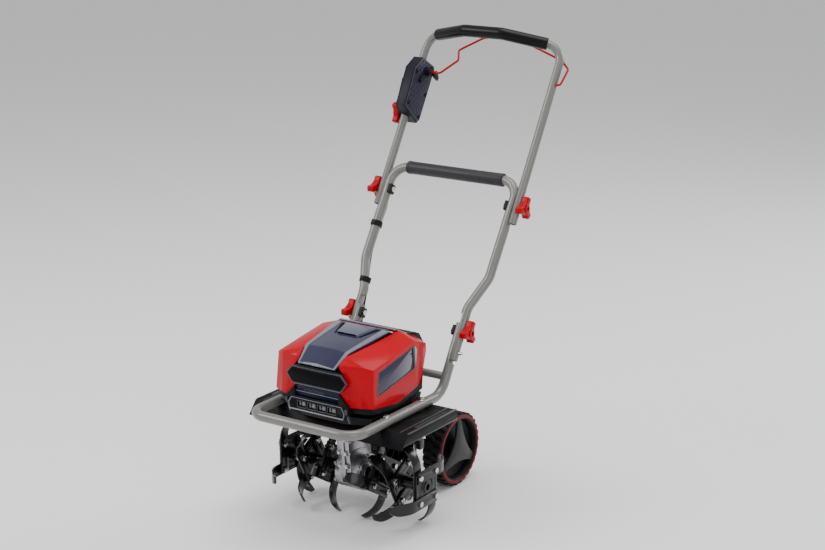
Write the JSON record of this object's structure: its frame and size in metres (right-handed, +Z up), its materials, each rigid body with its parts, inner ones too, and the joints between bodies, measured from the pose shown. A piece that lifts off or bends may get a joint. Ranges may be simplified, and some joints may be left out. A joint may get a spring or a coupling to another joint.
{
  "type": "tiller",
  "caption": "Battery garden tiller: folding tube handle with a bail lever, hooded motor unit on a bumper frame, worm-driven tine rotor and rear transport wheels.",
  "frame": {"origin": "on the ground under the middle of the machine's box", "axes": "+Z up, -Y to the front bumper, +X to the right of a person pushing it"},
  "size_m": [0.487, 0.9424, 1.1632],
  "materials": {
    "frame_paint": "satin warm grey paint",
    "black_paint": "gloss black paint",
    "red_plastic": "gloss red",
    "black_plastic": "fine matte",
    "navy_plastic": "smooth",
    "smoked_glass": "smoked clear",
    "foam": "smooth skin foam",
    "casting": "as cast",
    "zinc": "zinc plated",
    "steel": "machined",
    "tyre_rubber": "tread",
    "red_wire": "red dip coat",
    "board": "circuit board"
  },
  "bodies": {
    "chassis": {"bumper_frame": "frame_paint", "rear_cross_tube": "frame_paint", "deck": "black_paint", "gearbox_housing": "casting", "bearings": "steel", "chassis_bolts": "zinc", "motor_can": "steel", "low_bolts": "zinc", "low_saddles": "black_plastic", "hood": "red_plastic", "side_windows": "smoked_glass", "lid_hinge_pin": "steel", "front_panel": "navy_plastic", "badge_bar": "black_plastic", "front_grille": "black_plastic", "base_shell": "black_plastic", "vent_cover": "black_plastic", "battery_tray": "black_plastic", "battery_packs": "black_plastic", "control_board": "board", "wheel_bracket": "black_paint", "cable_low_loop": "black_plastic"},
    "lid": {"lid": "smoked_glass"},
    "hood_latch": {"hood_latch": "red_plastic"},
    "motor_rotor": {"worm": "steel", "motor_rotor": "steel"},
    "tine_rotor": {"tine_shaft": "steel", "worm_wheel": "steel", "tine_hubs": "black_paint", "star_plates": "black_paint", "inner_tines": "black_paint", "middle_tines": "black_paint", "outer_tines": "black_paint", "tine_bolts": "zinc"},
    "wheel_carrier": {"wheel_carrier": "black_paint", "wheel_axle": "steel"},
    "wheel_left": {"tyre_left": "tyre_rubber", "rim_left": "black_plastic"},
    "wheel_right": {"tyre_right": "tyre_rubber", "rim_right": "black_plastic"},
    "lower_handle": {"lower_handle": "frame_paint", "cross_grip": "foam", "mid_bolts": "zinc", "mid_saddles": "black_plastic", "cable_lower": "black_plastic", "cable_clips": "black_plastic", "cable_mid_loop": "black_plastic"},
    "upper_handle": {"upper_handle": "frame_paint", "top_grip": "foam", "switch_case_inner": "navy_plastic", "switch_case_outer": "navy_plastic", "clamp_bolt": "zinc", "cable_upper": "black_plastic"},
    "bail": {"bail": "red_wire"},
    "start_button": {"start_button": "black_plastic"},
    "low_knob_left": {"low_knob_left": "red_plastic"},
    "low_knob_right": {"low_knob_right": "red_plastic"},
    "mid_knob_left": {"mid_knob_left": "red_plastic"},
    "mid_knob_right": {"mid_knob_right": "red_plastic"},
    "box_knob": {"box_knob": "red_plastic"}
  },
  "joints": [
    {"name": "lower_fold", "type": "hinge", "parent": "chassis", "child": "lower_handle", "pos_m": [0, 0.00145, 0.44401], "axis": [1, 0, 0], "range_deg": [0, 95], "deforming": ["cable_low_loop"]},
    {"name": "upper_fold", "type": "hinge", "parent": "lower_handle", "child": "upper_handle", "pos_m": [0, 0.18867, 0.73429], "axis": [1, 0, 0], "range_deg": [-135, 0], "deforming": ["cable_mid_loop"]},
    {"name": "bail_pull", "type": "hinge", "parent": "upper_handle", "child": "bail", "pos_m": [0, 0.35854, 1.02651], "axis": [1, 0, 0], "range_deg": [0, 4.5], "stiffness_Nm_per_rad": 3, "springref_deg": -20.05},
    {"name": "start_press", "type": "slide", "parent": "upper_handle", "child": "start_button", "axis": [1, 0, 0], "range_m": [0, 0.004], "stiffness_N_per_m": 600, "springref_m": -0.003},
    {"name": "tine_spin", "type": "hinge", "parent": "chassis", "child": "tine_rotor", "pos_m": [0, -0.2295, 0.114], "axis": [1, 0, 0], "continuous": true},
    {"name": "motor_spin", "type": "hinge", "parent": "chassis", "child": "motor_rotor", "pos_m": [0, -0.2678, 0.2], "axis": [0, 0, 1], "continuous": true},
    {"name": "lid_hinge", "type": "hinge", "parent": "chassis", "child": "lid", "pos_m": [0, -0.1945, 0.478], "axis": [1, 0, 0], "range_deg": [-75, 0]},
    {"name": "latch_slide", "type": "slide", "parent": "chassis", "child": "hood_latch", "axis": [0, 1, 0], "range_m": [0, 0.01]},
    {"name": "carrier_swing", "type": "hinge", "parent": "chassis", "child": "wheel_carrier", "pos_m": [0, -0.0955, 0.16], "axis": [1, 0, 0], "range_deg": [0, 35]},
    {"name": "wheel_left_roll", "type": "hinge", "parent": "wheel_carrier", "child": "wheel_left", "pos_m": [-0.0905, 0.0675, 0.098], "axis": [1, 0, 0], "continuous": true},
    {"name": "wheel_right_roll", "type": "hinge", "parent": "wheel_carrier", "child": "wheel_right", "pos_m": [0.0905, 0.0675, 0.098], "axis": [1, 0, 0], "continuous": true},
    {"name": "low_knob_left_turn", "type": "hinge", "parent": "chassis", "child": "low_knob_left", "pos_m": [-0.183, 0.00145, 0.44401], "axis": [1, 0, 0], "continuous": true},
    {"name": "mid_knob_left_turn", "type": "hinge", "parent": "lower_handle", "child": "mid_knob_left", "pos_m": [-0.23, 0.18867, 0.73429], "axis": [1, 0, 0], "continuous": true},
    {"name": "low_knob_right_turn", "type": "hinge", "parent": "chassis", "child": "low_knob_right", "pos_m": [0.183, 0.00145, 0.44401], "axis": [1, 0, 0], "continuous": true},
    {"name": "mid_knob_right_turn", "type": "hinge", "parent": "lower_handle", "child": "mid_knob_right", "pos_m": [0.23, 0.18867, 0.73429], "axis": [1, 0, 0], "continuous": true},
    {"name": "box_knob_turn", "type": "hinge", "parent": "upper_handle", "child": "box_knob", "pos_m": [-0.237, 0.3077, 0.91845], "axis": [1, 0, 0], "continuous": true}
  ],
  "couplings": [
    {"joint": "motor_spin", "follows": "tine_spin", "ratio": 30}
  ]
}
